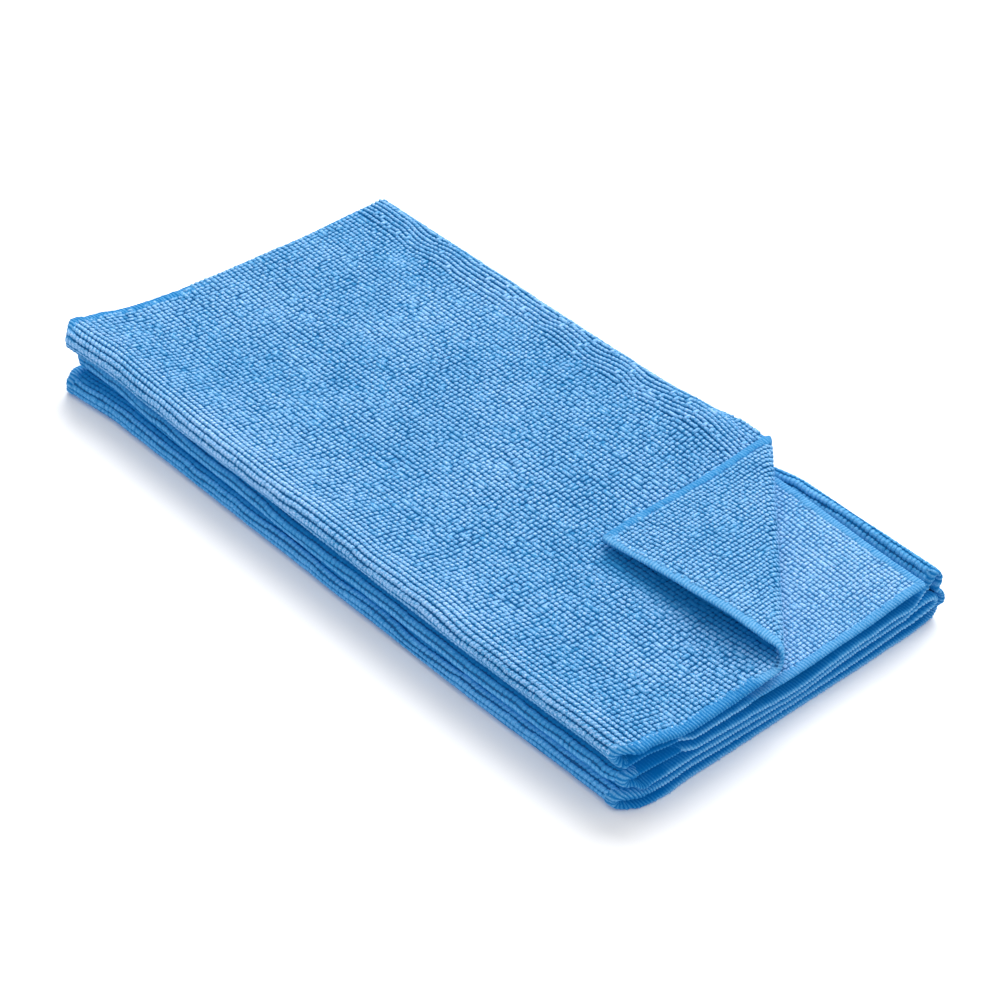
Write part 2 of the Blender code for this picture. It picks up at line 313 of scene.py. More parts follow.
def section(y):
    """The section at a place along the length, and the first point of each stretch."""
    at = {"hang": HANG_START_X, "left turn": INNER_TURN_LEFT_X, "right turn": INNER_TURN_RIGHT_X}
    at["wall"] = RIGHT_WALL_START_X
    at["right fold"] = INNER_RIGHT_FOLD_X - SHEET_THICKNESS / 2.0 - INNER_RIGHT_FOLD_REACH
    at["free edge"] = eased(FOLD_LINE_Y, SECOND_FREE_EDGE_X, y)
    for name, faces in FOLD_FACE_X.items():
        at[name] = eased(FOLD_LINE_Y, faces, y) + SHEET_THICKNESS / 2.0 + FOLDS[name][0]
    wall_place = smooth((y - WALL_FRONT_UNTIL_Y) / (WALL_BACK_FROM_Y - WALL_FRONT_UNTIL_Y))
    points, starts = run("layer_1", TOP_FREE_EDGE_X, HANG_START_X, HANG_POINTS)[:-1], {}
    following = [row[0] for row in ROUTE[1:]] + [None]
    for (layer, first, last, count, turn, reach), after in zip(ROUTE, following):
        starts[layer] = len(points)
        points += run(layer, at[first], at[last], count)
        starts[turn] = len(points) - 1
        if turn in FOLDS:
            points += left_fold(turn, points[-1], section_point(after, at[last]))
        elif turn == "right wall":
            points += right_wall(wall_place)
        elif turn:
            points += turn_over(points[-1], section_point(after, at[last]), reach, TURN_POINTS)
    return points, starts


STATIONS = 65
station_shares = np.linspace(0.0, 1.0, STATIONS)
sections = []
for share in station_shares:
    points, starts = section(FRONT_LINE_Y + share * (BACK_LINE_Y - FRONT_LINE_Y))
    sections.append(points)
sections = np.array(sections)
print("stations and points of a section", sections.shape[:2])

# %% [markdown]
# ### From the flat cloth to the folded one
# On the flat cloth a place is `along`, from the top layer's free edge, and `across`, from the front
# edge. `folded` gives the same place on the folded cloth. It reads the sections with smooth curves
# between their points, then rolls the corner over the crease. Loops and hem are laid out flat and go
# through this one function, so all of it agrees.

# %% Fold a place of the flat cloth
CREASE_RIGHT = np.array((69.3, -75.8))
CREASE_FRONT = np.array((-10.0, -164.0))
CREASE_RADIUS = 3.0
CREASE_LIFT = 1.6
FLAP_CLEARANCE = 0.5
HALF_TURN = math.pi * CREASE_RADIUS
crease_line = CREASE_FRONT - CREASE_RIGHT
crease_across = np.array((-crease_line[1], crease_line[0])) / np.linalg.norm(crease_line)


def swelling(x, y, z):
    """Rise of the cloth at a place, from the soft hollows and swellings."""
    low, high = SWELLING_HEIGHTS
    rise = 0.0
    for centre_x, centre_y, width_x, width_y, height in SWELLINGS:
        reach = ((x - centre_x) / width_x) ** 2 + ((y - centre_y) / width_y) ** 2
        rise = rise + height * np.exp(-reach)
    return rise * smooth((z - low) / (high - low))


line_x, line_z = sections[..., 0], sections[..., 1]
line_y = sections[..., 2] + (sections[..., 3] - sections[..., 2]) * station_shares[:, None]
net = np.stack((line_x, line_y, line_z + swelling(line_x, line_y, line_z)), axis=-1)
steps = np.linalg.norm(np.diff(net[STATIONS // 2], axis=0), axis=1)
knots = np.concatenate(((0.0,), np.cumsum(steps)))
slopes = np.gradient(net, knots, axis=1)
LENGTH = float(knots[-1])
reached = {name: float(knots[number]) for name, number in starts.items()}


def before_crease(along, across):
    """The folded place before the corner is rolled over: smooth along the section, even across."""
    k = np.clip(np.searchsorted(knots, along, side="right") - 1, 0, len(knots) - 2)
    span = knots[k + 1] - knots[k]
    u = ((along - knots[k]) / span)[:, None]
    station = np.clip(across / WIDTH, 0.0, 1.0) * (STATIONS - 1)
    j = np.minimum(station.astype(int), STATIONS - 2)
    share = (station - j)[:, None]
    place = 0.0
    for row, weight in ((j, 1.0 - share), (j + 1, share)):
        start, end = net[row, k], net[row, k + 1]
        leave, arrive = slopes[row, k] * span[:, None], slopes[row, k + 1] * span[:, None]
        curve = start * (2.0 * u**3 - 3.0 * u**2 + 1.0) + end * (3.0 * u**2 - 2.0 * u**3)
        curve = curve + leave * (u**3 - 2.0 * u**2 + u) + arrive * (u**3 - u**2)
        place = place + weight * curve
    return place


def beyond_crease(x, y):
    """How far a place of the top layer lies beyond the crease, and its share toward the front."""
    offset = np.stack((x, y), axis=-1) - CREASE_RIGHT
    return offset @ crease_across, offset @ crease_line / (crease_line @ crease_line)


tip = np.array((TOP_FREE_EDGE_X, section_point("layer_1", TOP_FREE_EDGE_X)[2]))
flap_reach = beyond_crease(*tip)[0] - HALF_TURN
print("cloth", round(LENGTH, 1), "x", WIDTH, "mm; the corner reaches", round(flap_reach, 1))


def ramp(value, start, width):
    """0 up to a start, then rising to 1 over a width. A negative width rises the other way."""
    return smooth((value - start) / width)


def window(value, low, high, edge):
    """1 between two values, falling to 0 outside them."""
    return ramp(value, low - edge, edge) * ramp(value, high + edge, -edge)


# %% [markdown]
# A few moves, listed one by one: the ends of the inner turns are tucked in, some fold ends are pulled out
# or drawn in, and the free edge of the turned-back corner stands a little off the top.

# %% Listed moves
TURN_IN, TURN_OUT = reached["first inner turn"], reached["layer_2"]
END_MOVES = (
    # end, depth in from it, part of the length, ramp, then the move in x, y and z
    ("both", 16.0, TURN_IN - 2.0, TURN_IN + 7.0, 4.0, 0.0, 6.0, 0.0),
    ("both", 16.0, TURN_OUT - 12.0, TURN_OUT + 5.0, 13.0, 0.0, 6.0, 0.0),
    ("front", 12.0, reached["fold_b"] - 3.0, reached["fold_b"] + 8.0, 5.0, 2.4, 2.2, 0.0),
    ("front", 16.0, reached["layer_4"] + 143.0, reached["layer_4"] + 155.0, 8.0, 3.4, 0.0, 1.3),
    ("back", 30.0, 142.0, 172.0, 12.0, -1.6, 1.3, 0.0),
    ("back", 30.0, 174.0, 182.0, 12.0, -1.6, 1.0, 0.0),
    ("back", 30.0, 184.0, 197.0, 12.0, -1.2, 0.9, 0.0),
    ("back", 30.0, 486.0, 512.0, 12.0, -2.2, 1.8, 0.0),
)
TIP_PULL = 5.0
TIP_PULL_REACH = 62.0
RAISE = 2.8
RAISE_RAMP = 10.0
RAISE_WIDTH = 85.0
RAISE_AT_TIP = 0.35
RAISE_EASE = 1.4
RAISE_SHIFT = (-0.843, -1.011)


def with_moved_ends(place, along, across):
    """The ends of the folds, moved. At "both", the two ends move toward each other."""
    for end, depth, low, high, edge, *move in END_MOVES:
        front, back = smooth(1.0 - across / depth), smooth(1.0 - (WIDTH - across) / depth)
        share = {"front": front, "back": back, "both": front - back}[end]
        share = share * window(along, low, high, edge)
        place = place + share[:, None] * np.array(move)
    return place


def hung(x, beyond):
    """The place and the fall of the top layer's free edge, which hangs over the side."""
    over = x - HANG_START_X
    share = smooth((-beyond - HANG_NONE_AT) / (HANG_FULL_AT - HANG_NONE_AT))
    share = np.where(over > 0.0, share, 0.0)
    bend = np.minimum(np.maximum(over, 0.0) / HANG_RADIUS, HANG_FULL_TURN)
    straight = over - bend * HANG_RADIUS
    hung_x = HANG_START_X + HANG_RADIUS * np.sin(bend) + straight * np.cos(bend)
    down = HANG_RADIUS * (1.0 - np.cos(bend)) + straight * np.sin(bend)
    return x + share * (hung_x - x), share * down


# %% From flat to folded
def folded(along, across):
    """The place on the folded cloth, in mm, of places on the flat cloth."""
    place = before_crease(along, across)
    beyond, toward_front = beyond_crease(place[:, 0], place[:, 1])
    x, y, z = with_moved_ends(place, along, across).T
    lift = CREASE_LIFT * smooth(1.0 + beyond / HANG_FULL_AT) * smooth(toward_front)
    top = along < reached["fold_a"]
    near_x, fall = hung(x, beyond)
    near_z = z + lift - fall

    angle = np.clip(beyond / CREASE_RADIUS, 0.0, math.pi)
    back = np.maximum(beyond - HALF_TURN, 0.0)
    shift = CREASE_RADIUS * np.sin(angle) - back - beyond
    drop = 2.0 * CREASE_RADIUS - SHEET_THICKNESS - FLAP_CLEARANCE + lift
    lowered = smooth(0.5 * back / flap_reach + 0.5 * (back / flap_reach) ** 2)
    rise = lift + CREASE_RADIUS * (1.0 - np.cos(angle)) - drop * lowered

    from_tip = np.hypot(along, across) / TIP_PULL_REACH
    tip_pull = TIP_PULL * smooth(1.0 - from_tip) * np.where(back > 0.0, 1.0, 0.0)
    raised = RAISE * smooth(back / RAISE_RAMP) * smooth(1.0 - across / RAISE_WIDTH)
    away = smooth(RAISE_EASE * from_tip)
    raised = raised * (RAISE_AT_TIP + (1.0 - RAISE_AT_TIP) * away)

    rolled = top & (beyond > 0.0)
    out = np.empty_like(place)
    flap_x = x + crease_across[0] * shift + RAISE_SHIFT[0] * raised
    flap_y = y + crease_across[1] * shift + RAISE_SHIFT[1] * raised + tip_pull
    out[:, 0] = np.where(rolled, flap_x, np.where(top, near_x, x))
    out[:, 1] = np.where(rolled, flap_y, y)
    out[:, 2] = np.where(rolled, z + rise + raised, np.where(top, near_z, z))
    return out


print("tip of the turned-back corner", folded(np.zeros(1), np.zeros(1))[0].round(1).tolist())

# %% [markdown]
# Loops and stitches stand off the cloth, so they need the direction that points straight out of its
# coarse face. It comes from two short steps on the cloth. A place just outside the cloth, as the hem
# needs, goes straight on from its edge.

# %% Stand off the cloth
NUDGE = 0.8


def put(along, across, off):
    """Places in metres in the frame, standing off the coarse face by `off` millimetres."""
    a = np.clip(along, NUDGE, LENGTH - NUDGE)
    c = np.clip(across, NUDGE, WIDTH - NUDGE)
    middle = folded(a, c)
    run_on = (folded(a + NUDGE, c) - folded(a - NUDGE, c)) / (2.0 * NUDGE)
    run_up = (folded(a, c + NUDGE) - folded(a, c - NUDGE)) / (2.0 * NUDGE)
    out = np.cross(run_up, run_on)
    out /= np.maximum(np.linalg.norm(out, axis=1, keepdims=True), 1e-9)
    place = middle + (along - a)[:, None] * run_on + (across - c)[:, None] * run_up
    place = place + off[:, None] * out
    place[:, 0] -= BOX_CENTRE[0]
    place[:, 1] -= BOX_CENTRE[1]
    return place * MM


middle_of_top = put(np.array((80.0,)), np.array((160.0,)), np.array((1.0,)))[0]
print("1 mm over the middle of the top", middle_of_top.round(4).tolist())

# %% [markdown]
# ## The ground of the cloth
# A knitted ground holds the loops together. It shows only as the dark between them: its blues are as
# dark as the loops' feet, which is painted shade. It is a fine grid, each vertex put in its folded place,
# with Solidify for its thickness. Its lines are closer where it can be seen, because a wide step across a
# fold shows as a flat.

# %% Ground
GROUND_THICKNESS = 0.9
GROUND_EDGE = 0.8
GROUND_STEP_SHOWN = 2.0
GROUND_STEP_HIDDEN = 4.5
GROUND_STEP_ACROSS = 3.2
lines = [GROUND_EDGE]
for k in range(len(knots) - 1):
    shown = knots[k] < reached["fold_a"] or knots[k] >= reached["layer_2"]
    wanted = GROUND_STEP_SHOWN if shown else GROUND_STEP_HIDDEN
    parts = max(1, math.ceil((knots[k + 1] - knots[k]) / wanted))
    lines += list(np.linspace(knots[k], knots[k + 1], parts + 1)[1:])
lines[-1] = LENGTH - GROUND_EDGE
ground_along = np.array(lines)
lines_across = round(WIDTH / GROUND_STEP_ACROSS) + 1
ground_across = np.linspace(GROUND_EDGE, WIDTH - GROUND_EDGE, lines_across)
bpy.ops.object.select_all(action="DESELECT")
bpy.ops.mesh.primitive_grid_add(
    x_subdivisions=len(ground_along) - 1, y_subdivisions=len(ground_across) - 1, size=2.0
)
ground = bpy.context.object
ground.name = "cloth_ground"


def vertex_array(mesh):
    """The vertices of a mesh as an array, a row for each."""
    flat = np.empty(len(mesh.vertices) * 3)
    mesh.vertices.foreach_get("co", flat)
    return flat.reshape(-1, 3)


grid = vertex_array(ground.data)
i = np.rint((grid[:, 0] + 1.0) / 2.0 * (len(ground_along) - 1)).astype(int)
j = np.rint((grid[:, 1] + 1.0) / 2.0 * (len(ground_across) - 1)).astype(int)
flat_along, flat_across = ground_along[i], ground_across[j]
placed = put(flat_along, flat_across, np.zeros(len(grid)))
ground.data.vertices.foreach_set("co", placed.ravel())
bpy.ops.object.mode_set(mode="EDIT")
bpy.ops.mesh.select_all(action="SELECT")
bpy.ops.mesh.flip_normals()
bpy.ops.object.mode_set(mode="OBJECT")
thicken = ground.modifiers.new("ground thickness", "SOLIDIFY")
thicken.thickness = GROUND_THICKNESS * MM
thicken.offset = 0.0
thicken.use_even_offset = True
bpy.ops.object.modifier_apply(modifier=thicken.name)
bpy.ops.object.shade_smooth()
ground.data.update()
print("ground faces", len(ground.data.polygons))

# %% [markdown]
# ## The loops
# The coarse face is covered with rows of small puffed loops, about 2 mm apart both ways. A displaced
# sheet would need millions of faces for them. Instead one loop is modelled, low and rounded, and copied
# from arrays: each copy's vertices go through `put`, so it bends with the cloth.

# %% One loop
CHAMFER, SHOULDER, CROWN = 0.25, 0.74, 0.26
TAPER = (0.8, 0.8, 1.0)
bpy.ops.object.select_all(action="DESELECT")
bpy.ops.mesh.primitive_plane_add(size=1.0, location=(0.0, 0.0, 0.0))
loop = bpy.context.object
loop.name = "one loop"
bpy.ops.object.mode_set(mode="EDIT")
bpy.ops.mesh.select_all(action="SELECT")
bpy.ops.mesh.bevel(offset=CHAMFER, affect="VERTICES", segments=1)
bpy.ops.mesh.select_all(action="SELECT")
bpy.ops.mesh.extrude_region_move(TRANSFORM_OT_translate={"value": (0.0, 0.0, SHOULDER)})
bpy.ops.transform.resize(value=TAPER)
bpy.ops.mesh.poke(offset=CROWN)
bpy.ops.mesh.select_all(action="SELECT")
bpy.ops.mesh.quads_convert_to_tris()
bpy.ops.object.mode_set(mode="OBJECT")
loop_shape = vertex_array(loop.data)
faces = [list(face.vertices) for face in loop.data.polygons if face.normal.z > -0.9]
# Blender may list them in another order each time, so they are sorted.
loop_faces = np.array(sorted(np.roll(face, -int(np.argmin(face))).tolist() for face in faces))
bpy.data.objects.remove(loop)
print("loop vertices", len(loop_shape), "triangles", len(loop_faces))

# %% Soft patches
LATTICE = 512


def drift(along, across, size, seed):
    """Soft patches between -1 and 1, about `size` millimetres wide."""
    lattice = np.random.default_rng(seed).uniform(-1.0, 1.0, (LATTICE, LATTICE))
    u, v = along / size + LATTICE / 8.0, across / size + LATTICE / 8.0
    a, b = smooth(u - np.floor(u)), smooth(v - np.floor(v))
    i, j = np.floor(u).astype(int) % LATTICE, np.floor(v).astype(int) % LATTICE
    next_i, next_j = (i + 1) % LATTICE, (j + 1) % LATTICE
    low = lattice[i, j] * (1.0 - a) + lattice[next_i, j] * a
    high = lattice[i, next_j] * (1.0 - a) + lattice[next_i, next_j] * a
    return low * (1.0 - b) + high * b


def drifts(along, across, table):
    """The sum of soft patches, from rows of strength, size and seed."""
    return sum(strength * drift(along, across, size, seed) for strength, size, seed in table)


# %% Lay the loops out
HEM_WIDTH = 4.3
EDGE_LOOPS = 2
THREE_MESHES = 0.3
chance = np.random.default_rng(20)


def lay_loops(start, end, pitches, wide_share, long_share, loose_until=LENGTH):
    """Loops on an even net: each one's middle, and how many meshes it spans both ways.

    Most loops fill one mesh. Some run on along their row, and a few reach into the next row.
    """
    rows = max(1, round((end - start) / pitches[0]))
    first = HEM_WIDTH - EDGE_LOOPS * pitches[1]
    columns = int((WIDTH - 2.0 * first) / pitches[1])
    taken = np.zeros((rows, columns), dtype=bool)
    loops = []
    for row in range(rows):
        for column in range(columns):
            if taken[row, column]:
                continue
            wide, long = 1, 1
            luck = chance.random() + (start + row * pitches[0] > loose_until)
            if luck < wide_share and row + 1 < rows:
                wide = 2
            elif luck < wide_share + long_share:
                long = min(2 + int(chance.random() < THREE_MESHES), columns - column)
            taken[row : row + wide, column : column + long] = True
            along = start + (row + wide / 2.0) * pitches[0]
            loops.append((along, first + (column + long / 2.0) * pitches[1], wide, long))
    return np.array(loops)


# %% [markdown]
# Some places differ. The top layer's hem is rolled under on its right side and most of its back. Under
# the turned-back corner and in the gaps between the left folds, loops are pressed down and dark. The
# dark is painted shade, and under and in front of the turned-back corner it is its painted shadow.

# %% Places that differ
ROLLED_FROM_RIGHT = (9.0, -3.0)
ROLLED_FROM_BACK = (WIDTH - 9.0, 3.0)
ROLLED_BEFORE_CREASE = (2.0, -4.0)
ROLLED_BACK_UNTIL = (118.0, -20.0)
ROLLED_FOLD = (163.0, 180.0, 3.0)
FLAP_SHADE_START = -1.0
FLAP_SHADE_REACH = 11.0
FLAP_SHADE_RIGHT = (TOP_FREE_EDGE_X + 3.0, -6.0)
NEAR_CREASE = 2.0
# Gaps between the left folds, where the loops get painted shade.
SHADED_GAPS = (
    # part of the length, ramp, share
    (reached["fold_a"] + 12.0, TURN_IN + 5.0, 3.0, 1.0),
    (reached["fold_b"] - 6.0, reached["fold_b"] + 1.0, 2.0, 1.0),
    (reached["fold_c"] - 20.0, reached["fold_c"] - 1.0, 3.0, 0.8),
)


def flat_beyond(along, across):
    """The place before the corner is rolled over, and how far it lies beyond the crease."""
    place = before_crease(np.clip(along, 0.0, LENGTH), np.clip(across, 0.0, WIDTH))
    return place, beyond_crease(place[:, 0], place[:, 1])[0]


def hem_hidden(along, across):
    """1 where the top layer's hem is rolled under."""
    beyond = flat_beyond(along, across)[1]
    right = ramp(along, *ROLLED_FROM_RIGHT) * ramp(beyond, *ROLLED_BEFORE_CREASE)
    back = ramp(across, *ROLLED_FROM_BACK) * ramp(along, *ROLLED_BACK_UNTIL)
    fold = ramp(across, *ROLLED_FROM_BACK) * window(along, *ROLLED_FOLD)
    return np.maximum(np.maximum(right, back), fold)


def flap_shadow(along, across):
    """Painted shadow of the turned-back corner: 1 under it, falling to 0 in front of its free edge."""
    place, beyond = flat_beyond(along, across)
    mirrored = place[:, :2] + (HALF_TURN - 2.0 * beyond)[:, None] * crease_across
    behind = mirrored[:, 1] - tip[1] - FLAP_SHADE_START
    near = smooth((behind + FLAP_SHADE_REACH) / FLAP_SHADE_REACH)
    near = near * ramp(mirrored[:, 0], *FLAP_SHADE_RIGHT)
    return near * np.where((along < reached["fold_a"]) & (beyond < NEAR_CREASE), 1.0, 0.0)


def gap_shade(along):
    """Painted shade in the gaps between the left folds: 1 where the coarse face turns into them."""
    return np.maximum.reduce([share * window(along, low, high, edge) for low, high, edge, share in SHADED_GAPS])


print("gaps from", [round(row[0], 1) for row in SHADED_GAPS])

# %% How uneven the loops are
# The wander, the jitter and the sweep are in millimetres, and the rest are shares.
UNEVEN_ALONG, UNEVEN_ACROSS, UNEVEN_HEIGHT = (-0.05, 0.05), (-0.03, 0.07), (-0.12, 0.10)
UNEVEN_LEAN = 0.07
JITTER = (0.07, 0.09)
LOW_LOOPS = 0.007
LOW_LOOP_HEIGHT = (0.4, 0.7)
LOW_LOOP_SHADE, LONG_LOOP_SHADE = 0.72, 0.93
# Rows of strength, size and seed.
TALL_PATCHES = ((0.12, 6.0, 3), (0.08, 20.0, 4))
PALE_PATCHES = ((0.5, 9.0, 5), (0.8, 30.0, 6))
PALE_STREAKS = ((0.5, 2.4, 7),)
STREAK_SQUEEZE = 0.12
WANDER_ALONG = ((0.7, 26.0, 1), (0.3, 8.0, 11))
WANDER_ACROSS = ((0.7, 26.0, 2), (0.4, 8.0, 12))
# Rows that sweep in and out near the top layer's right edge, and tall ropes beside it.
SWEEP = ((1.9, 15.0, 21),)
SWEEP_SQUEEZE = 0.25
SWEEP_IN = (0.0, 14.0)
SWEEP_OUT = (34.0, -16.0)
EDGE_ROPES = (7.5, 19.0, 3.0)
ROPE_TALLER, ROPE_NARROWER = 0.40, 0.07
# Loops under the corner and in the gaps: lower, and darker with duller tips, which is painted shade.
PRESSED_LOWER, PRESSED_PAINTED_SHADE, PRESSED_HIGHLIGHT_DULLER = 0.2, 0.43, 0.8
print("one loop in", round(1.0 / LOW_LOOPS), "is low")


# %% One piece from arrays, and its shade
UNDER_HEM = 1.2
LOOP_BASE = 0.3
RISE_AND_SHADE, LUCK, PATCH, HIGHLIGHT = range(4)


def new_piece(name, places, faces, values):
    """A smooth piece from arrays, with its colour attribute, linked to the scene."""
    mesh = bpy.data.meshes.new(name)
    mesh.from_pydata(places, [], faces.tolist())
    mesh.shade_smooth()
    tint = mesh.color_attributes.new("tuft", "FLOAT_COLOR", "POINT")
    tint.data.foreach_set("color", values.ravel())
    piece = bpy.data.objects.new(name, mesh)
    bpy.context.scene.collection.objects.link(piece)
    return piece


def loop_shade(along, across, share, pressed, glow, depth, tip_highlight):
    """The colour attribute of the loops: height, for painted shade toward their feet, luck, how pale their
    patch is, and their painted highlight.
    """
    count = len(along)
    values = np.ones((count, len(loop_shape), 4))
    # Painted shade: the colour darkens toward each loop's foot, more with a larger depth.
    values[..., RISE_AND_SHADE] = 1.0 - depth * (1.0 - loop_shape[None, :, 2] * share[:, None])
    values[..., LUCK] = chance.random(count)[:, None]
    patches = drifts(along, across, PALE_PATCHES)
    patches = patches + drifts(along, across * STREAK_SQUEEZE, PALE_STREAKS)
    values[..., PATCH] = (0.5 + glow + patches)[:, None]
    # A painted highlight on the tips: a little stronger on the ropes over fold A, duller where the loops
    # are pressed.
    fold_a_highlight = 1.0 + 0.2 * window(along, reached["fold_a"] - 4.0, reached["fold_a"] + 8.0, 4.0)
    values[..., HIGHLIGHT] = (tip_highlight * fold_a_highlight * (1.0 - PRESSED_HIGHLIGHT_DULLER * pressed))[:, None]
    return values


# %% Bend every loop onto the cloth
def make_loops(name, loops, pitches, height, side, tight, glow, depth=1.0, tip_highlight=1.0):
    """One piece of loops, on the coarse face (side 1) or on the reverse (side -1).

    `tight` says how closely a row is packed into a rope, `glow` makes the loops paler, `depth` darkens
    them toward their feet with painted shade, and the last sets how bright their tips' painted highlight
    may get.
    """
    along, across = loops[:, 0], loops[:, 1]
    inside = (np.abs(across - WIDTH / 2.0) < WIDTH / 2.0 - HEM_WIDTH + UNDER_HEM) & (
        np.abs(along - LENGTH / 2.0) < LENGTH / 2.0 - HEM_WIDTH + UNDER_HEM
    )
    if side > 0.0:
        inside |= hem_hidden(along, across) > 0.5
    along, across, wide, long = loops[inside].T
    count = len(along)
    packed = tight(along)
    calmer = 1.0 - 0.5 * np.minimum(packed, 1.0)
    by_edge = window(along, *EDGE_ROPES) * (side > 0.0)
    # Pressed loops are lowered, and darkened with painted shade and a painted shadow.
    pressed = np.maximum(flap_shadow(along, across), gap_shade(along)) * (side > 0.0)

    size_along = pitches[0] * (0.99 + chance.uniform(*UNEVEN_ALONG, count) - 0.04 * packed)
    size_along = size_along * (1.0 - ROPE_NARROWER * by_edge)
    size_across = pitches[1] * (1.02 + chance.uniform(*UNEVEN_ACROSS, count))
    size_across = np.where(wide > 1.5, size_across * 0.8, size_across)

    tall = height * (1.0 + drifts(along, across, TALL_PATCHES))
    tall = tall * (1.0 + calmer * chance.uniform(*UNEVEN_HEIGHT, count))
    open_row = packed < 0.5
    low = (chance.random(count) < LOW_LOOPS) & (side > 0.0) & (wide + long == 2) & open_row
    tall = np.where(low, tall * chance.uniform(*LOW_LOOP_HEIGHT, count), tall)
    tall = tall * (1.0 - PRESSED_LOWER * pressed) * (1.0 + ROPE_TALLER * by_edge)

    wander_along = drifts(along, across, WANDER_ALONG)
    wander_across = drifts(along, across, WANDER_ACROSS)
    swept = ramp(along, *SWEEP_IN) * ramp(along, *SWEEP_OUT) * (side > 0.0)
    wander_along += swept * drifts(across, along * SWEEP_SQUEEZE, SWEEP)
    wander_along += chance.normal(0.0, JITTER[0], count) * calmer
    wander_across += chance.normal(0.0, JITTER[1], count)
    lean = chance.normal(0.0, UNEVEN_LEAN, (count, 2)) * calmer[:, None]

    x, y, z = (loop_shape[None, :, k] for k in range(3))
    shoulder = 1.0 + 0.32 * packed[:, None] * np.where((z > 0.5) & (z < 0.9), 1.0, 0.0)
    run_x = x * size_along[:, None] + np.sign(x) * (wide[:, None] - 1.0) * pitches[0] / 2.0
    run_y = y * shoulder * size_across[:, None]
    run_y = run_y + np.sign(y) * (long[:, None] - 1.0) * pitches[1] / 2.0
    a = (along + wander_along)[:, None] + run_x + lean[:, :1] * z * pitches[0]
    c = (across + wander_across)[:, None] + run_y + lean[:, 1:] * z * pitches[1]
    off = LOOP_BASE + z * tall[:, None]
    places = put(a.ravel(), c.ravel(), side * off.ravel())

    faces = loop_faces[:, ::-1] if side > 0 else loop_faces
    faces = faces[None] + len(loop_shape) * np.arange(count)[:, None, None]
    # Painted shade: low loops, long loops and pressed loops are darker.
    share = np.where(low, LOW_LOOP_SHADE, 1.0) * (1.0 - PRESSED_PAINTED_SHADE * pressed)
    share = share * np.where((wide + long > 2) & open_row, LONG_LOOP_SHADE, 1.0)
    values = loop_shade(along, across, share, pressed, glow, depth, tip_highlight)
    print(name, "loops", count, "triangles", faces.shape[0] * faces.shape[1])
    return new_piece(name, places, faces.reshape(-1, 3), values)


# %% Coarse face
COARSE = (2.13, 1.97)
LOOP_HEIGHT = 0.95
ROPES_UNTIL = reached["fold_a"] - 8.0
TOP_SPLIT = 78.0
SHOWN_PAST_CREASE = 8.0


def near_fold(along):
    """How tight the rows are: loose on the open top, pulled into ropes at left and right."""
    return 0.12 + 0.88 * ramp(along, ROPES_UNTIL, 7.0) + 1.3 * window(along, *EDGE_ROPES)


def even(tightness):
    """The same tightness everywhere: 1 or more on packed ropes, little on the reverse."""
    return lambda along: np.full_like(along, tightness)


pieces = []
first_row = HEM_WIDTH - EDGE_LOOPS * COARSE[0]
loops = lay_loops(first_row, TURN_IN, COARSE, 0.06, 0.07, loose_until=ROPES_UNTIL)
beyond = flat_beyond(loops[:, 0], loops[:, 1])[1]
shown = (loops[:, 0] > reached["fold_a"]) | (beyond < HALF_TURN + SHOWN_PAST_CREASE)
for name, half in (
    ("loops_top_right", loops[:, 0] < TOP_SPLIT),
    ("loops_top_left", loops[:, 0] >= TOP_SPLIT),
):
    pieces.append(make_loops(name, loops[shown & half], COARSE, LOOP_HEIGHT, 1.0, near_fold, 0.0))

# %% Sides
# The loops on the shaded sides get painted light and shade of their own: paler, darker toward their feet,
# with dimmer painted highlights, and the finish with a stronger painted glow.
SIDE_HEIGHT, SIDE_GLOW, SIDE_FOOT_SHADE = 0.8 * LOOP_HEIGHT, 0.1, 1.15
# At the front the wall's last loops would stand through the hem.
CLEAR_ALONG, CLEAR_ACROSS = reached["layer_3"] - 4.0, 6.0
for name, start, end, tight, tip_highlight in (
    ("loops_second_fold", reached["fold_b"] - 3.0, reached["layer_4"] + 3.0, 1.5, 0.35),
    ("loops_third_fold", reached["fold_c"] - 16.0, reached["layer_6"] + 6.0, 1.5, 0.35),
    ("loops_right_side", reached["right wall"] - 2.0, reached["layer_3"] + 4.0, 1.0, 0.4),
):
    loops = lay_loops(start, end, COARSE, 0.0, 0.06)
    loops = loops[(loops[:, 0] < CLEAR_ALONG) | (loops[:, 1] > CLEAR_ACROSS)]
    look = (even(tight), SIDE_GLOW, SIDE_FOOT_SHADE, tip_highlight)
    pieces.append(make_loops(name, loops, COARSE, SIDE_HEIGHT, 1.0, *look))

# %% [markdown]
# The reverse is a finer, more even grid. It shows on the turned-back corner, round its crease, and on
# the second layer beside it, so only these places get its loops.

# %% Reverse face
FINE = (1.87, 1.74)
for name, start, end, least, height, glow, depth in (
    ("loops_turned_corner", 0.0, reached["fold_a"], -2.0, 0.75, 0.0, 1.0),
    ("loops_second_layer", reached["layer_2"], LENGTH, -16.0, 0.45, 0.6, 0.75),
):
    loops = lay_loops(start, end, FINE, 0.03, 0.03)
    seen = loops[flat_beyond(loops[:, 0], loops[:, 1])[1] > least]
    pieces.append(make_loops(name, seen, FINE, height, -1.0, even(0.15), glow, depth))

# %% [markdown]
# ## The hem
# An overlocked hem wraps a yarn over the raw edge, stitch by stitch, on all four sides. The band is a
# long strip that follows the edge of the flat cloth. Two of every three rows of it are raised, so each
# stitch is a real ridge that slants over the edge.

